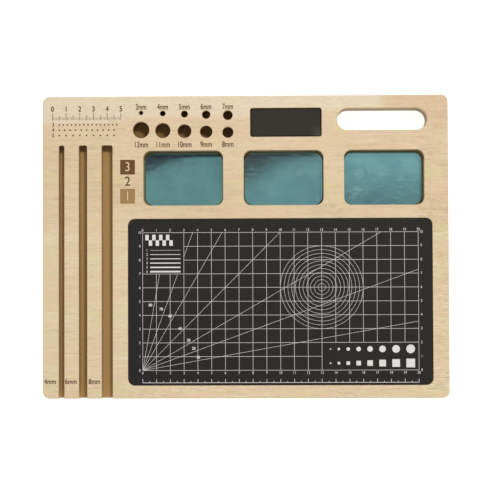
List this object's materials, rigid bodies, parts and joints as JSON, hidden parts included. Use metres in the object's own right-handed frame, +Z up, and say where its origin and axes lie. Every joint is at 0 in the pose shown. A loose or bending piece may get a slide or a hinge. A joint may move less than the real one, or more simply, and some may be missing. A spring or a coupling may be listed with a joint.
{
  "type": "craft work board",
  "caption": "Wooden tabletop craft board with an inlaid cutting mat, small-parts wells, a magnet block, tool holes, tool slots and a carrying slot.",
  "frame": {"origin": "centre of the underside", "axes": "+X to the user's right along the board's length, +Y to the back edge, +Z up out of the working face"},
  "size_m": [0.295, 0.22, 0.018],
  "materials": {
    "back_plank_wood": "pale hardwood, straight grain, sanded and thinly lacquered",
    "front_plank_wood": "pale hardwood, a little lighter, sanded and thinly lacquered",
    "mat_vinyl": "fine matte self-healing vinyl with white printed lines",
    "ferrite": "unglazed dark ferrite, matte",
    "bright_steel": "bright polished sheet",
    "teal_film": "glossy teal protective film",
    "adhesive_tape": "white double-sided tape"
  },
  "bodies": {
    "root": {"back_plank": "back_plank_wood", "front_plank": "front_plank_wood", "cutting_mat": "mat_vinyl", "mat_tape": "adhesive_tape", "magnet_block": "ferrite", "magnet_tape": "adhesive_tape", "well_plate_left": "bright_steel", "well_film_left": "teal_film", "well_tape_left": "adhesive_tape", "well_plate_middle": "bright_steel", "well_film_middle": "teal_film", "well_tape_middle": "adhesive_tape", "well_plate_right": "bright_steel", "well_film_right": "teal_film", "well_tape_right": "adhesive_tape"}
  },
  "joints": []
}
